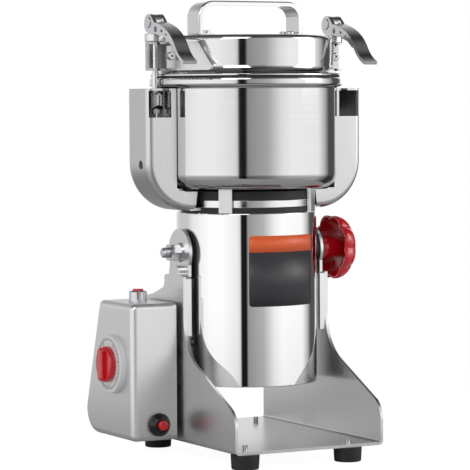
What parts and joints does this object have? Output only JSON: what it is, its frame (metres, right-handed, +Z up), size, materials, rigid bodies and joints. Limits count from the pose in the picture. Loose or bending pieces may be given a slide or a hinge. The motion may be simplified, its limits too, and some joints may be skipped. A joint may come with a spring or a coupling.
{
  "type": "electric grain mill",
  "caption": "Tilting swing-type grain mill: latched bowl on a round motor housing, pivoted between the side plates of a sheet-steel base, with a control box at the left.",
  "frame": {"origin": "middle of the footprint, on the table", "axes": "+Z up, +X to the clamp knob's side, -Y to the front (open side of the base)"},
  "size_m": [0.2258, 0.2046, 0.376],
  "materials": {
    "base_steel": "brushed, slightly mirrored",
    "box_steel": "finely brushed, light",
    "black_rubber": "matt black rubber",
    "plated_steel": "bright zinc plate",
    "black_plastic": "satin black plastic",
    "dial_grey": "light grey printed plastic",
    "red_plastic": "glossy red plastic",
    "polished_steel": "mirror polish",
    "bowl_steel": "fine turned brush, bright",
    "ear_steel": "brushed",
    "arm_steel": "brushed",
    "cast_aluminium": "machined, bright",
    "machined_steel": "turned",
    "lamination_steel": "stacked laminations",
    "copper": "varnished copper",
    "carbon": "matt carbon",
    "blade_steel": "ground",
    "lever_steel": "polished, dark reflections"
  },
  "bodies": {
    "base": {"base_frame": "base_steel", "rubber_feet": "black_rubber", "foot_screws": "plated_steel", "box_cover": "box_steel", "box_back_plate": "box_steel", "box_spacers": "black_rubber", "box_screws": "plated_steel", "timer_mechanism": "black_plastic", "timer_dial": "dial_grey", "power_switch": "black_plastic", "power_collar": "plated_steel", "overload_breaker": "black_plastic", "overload_bezel": "black_plastic", "cable_gland": "black_plastic", "pivot_bolt": "plated_steel", "pivot_nuts": "plated_steel"},
    "timer_knob": {"timer_knob": "red_plastic"},
    "power_button": {"power_button": "red_plastic"},
    "overload_button": {"overload_button": "red_plastic"},
    "clamp_knob": {"clamp_knob": "red_plastic", "clamp_stud": "plated_steel"},
    "rotor": {"motor_shaft": "machined_steel", "armature": "lamination_steel", "commutator": "copper", "cooling_fan": "black_plastic", "blade_spacers": "machined_steel", "lower_blade": "blade_steel", "upper_blade": "blade_steel", "blade_nut": "plated_steel"},
    "latch_left": {"latch_rod_left": "lever_steel"},
    "lever_left": {"cam_lever_left": "lever_steel", "lever_pin_left": "lever_steel"},
    "latch_right": {"latch_rod_right": "lever_steel"},
    "lever_right": {"cam_lever_right": "lever_steel", "lever_pin_right": "lever_steel"},
    "motor_unit": {"motor_housing": "polished_steel", "bottom_cover": "machined_steel", "pivot_bosses": "machined_steel", "thrust_washers": "black_rubber", "upper_bracket": "cast_aluminium", "bracket_bolts": "plated_steel", "seal_rings": "black_rubber", "lower_bracket": "cast_aluminium", "motor_bearings": "machined_steel", "stator_core": "lamination_steel", "field_coils": "copper", "brush_holders": "black_plastic", "carbon_brushes": "carbon", "bowl_pillars": "arm_steel", "grinding_bowl": "bowl_steel", "shaft_seal": "black_rubber", "lid": "bowl_steel", "lid_gasket": "black_rubber", "lid_handle": "polished_steel", "handle_screws": "plated_steel", "lid_ears": "ear_steel", "ear_screws": "plated_steel", "latch_arm_left": "arm_steel", "latch_arm_right": "arm_steel", "arm_screws": "plated_steel"}
  },
  "joints": [
    {"name": "unit_tilt", "type": "hinge", "parent": "base", "child": "motor_unit", "pos_m": [0.01245, 0.00935, 0.1685], "axis": [1, 0, 0], "range_deg": [0, 100]},
    {"name": "timer_turn", "type": "hinge", "parent": "base", "child": "timer_knob", "pos_m": [-0.10475, 0.03455, 0.0763], "axis": [-1, 0, 0], "range_deg": [0, 300]},
    {"name": "power_press", "type": "slide", "parent": "base", "child": "power_button", "axis": [0, 0, -1], "range_m": [0, 0.0015], "stiffness_N_per_m": 900, "springref_m": -0.0008},
    {"name": "reset_press", "type": "slide", "parent": "base", "child": "overload_button", "axis": [0, 1, 0], "range_m": [0, 0.0025], "stiffness_N_per_m": 900, "springref_m": -0.0008},
    {"name": "clamp_turn", "type": "hinge", "parent": "base", "child": "clamp_knob", "pos_m": [0.09295, 0.00935, 0.1685], "axis": [1, 0, 0], "range_deg": [-180, 180]},
    {"name": "rotor_spin", "type": "hinge", "parent": "motor_unit", "child": "rotor", "pos_m": [0.01245, 0.00935, 0.192], "axis": [0, 0, 1], "continuous": true},
    {"name": "latch_left_swing", "type": "hinge", "parent": "motor_unit", "child": "latch_left", "pos_m": [-0.07135, 0.00935, 0.2941], "axis": [1, 0, 0], "range_deg": [0, 85]},
    {"name": "lever_left_turn", "type": "hinge", "parent": "latch_left", "child": "lever_left", "pos_m": [-0.07135, 0.00935, 0.3578], "axis": [-1, 0, 0], "range_deg": [0, 150]},
    {"name": "latch_right_swing", "type": "hinge", "parent": "motor_unit", "child": "latch_right", "pos_m": [0.09625, 0.00935, 0.2941], "axis": [1, 0, 0], "range_deg": [0, 85]},
    {"name": "lever_right_turn", "type": "hinge", "parent": "latch_right", "child": "lever_right", "pos_m": [0.09625, 0.00935, 0.3578], "axis": [-1, 0, 0], "range_deg": [0, 150]}
  ]
}
